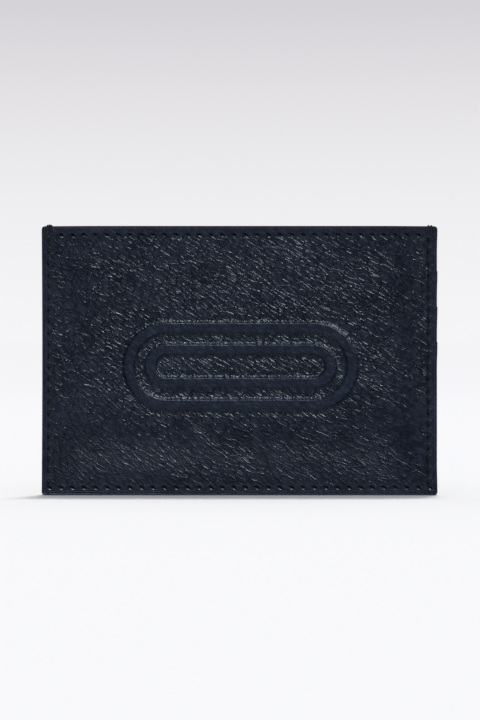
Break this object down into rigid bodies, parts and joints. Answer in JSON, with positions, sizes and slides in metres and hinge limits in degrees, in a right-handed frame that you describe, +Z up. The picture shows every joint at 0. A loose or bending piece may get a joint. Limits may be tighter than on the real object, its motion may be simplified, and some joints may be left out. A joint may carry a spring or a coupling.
{
  "type": "card holder",
  "caption": "Flat stitched leather card holder with a central pocket, stepped card slots on its back and a debossed frame on its front.",
  "frame": {"origin": "middle of the bottom edge, at the centre of the depth", "axes": "+X along the width to the right as seen from the front, +Z up towards the pocket mouth, and the front face looks along -Y"},
  "size_m": [0.103, 0.0094, 0.0705],
  "materials": {
    "navy_leather": "pebbled grain, satin",
    "slot_leather": "fine pebbled grain, satin",
    "lining_fabric": "plain woven twill, matte",
    "board": "pressed fibre, matte",
    "edge_paint": "smooth satin edge paint",
    "thread": "twisted waxed thread, slight sheen"
  },
  "bodies": {
    "root": {"back_leather_panel": "navy_leather", "back_lining": "lining_fabric", "back_mouth_edge_paint": "edge_paint", "back_mouth_stitching": "thread", "back_reinforcement": "board", "bottom_edge_paint": "edge_paint", "front_leather_panel": "navy_leather", "front_lining": "lining_fabric", "front_mouth_edge_paint": "edge_paint", "front_mouth_stitching": "thread", "front_reinforcement": "board", "left_edge_paint": "edge_paint", "left_mouth_wrap": "thread", "right_edge_paint": "edge_paint", "right_mouth_wrap": "thread", "seam_bobbin_thread": "thread", "seam_needle_thread": "thread", "slot_1_base_stitching": "thread", "slot_1_facing": "slot_leather", "slot_1_lining": "lining_fabric", "slot_1_mouth_edge_paint": "edge_paint", "slot_2_base_stitching": "thread", "slot_2_facing": "slot_leather", "slot_2_lining": "lining_fabric", "slot_2_mouth_edge_paint": "edge_paint", "slot_3_facing": "slot_leather", "slot_3_lining": "lining_fabric", "slot_3_mouth_edge_paint": "edge_paint"}
  },
  "joints": []
}
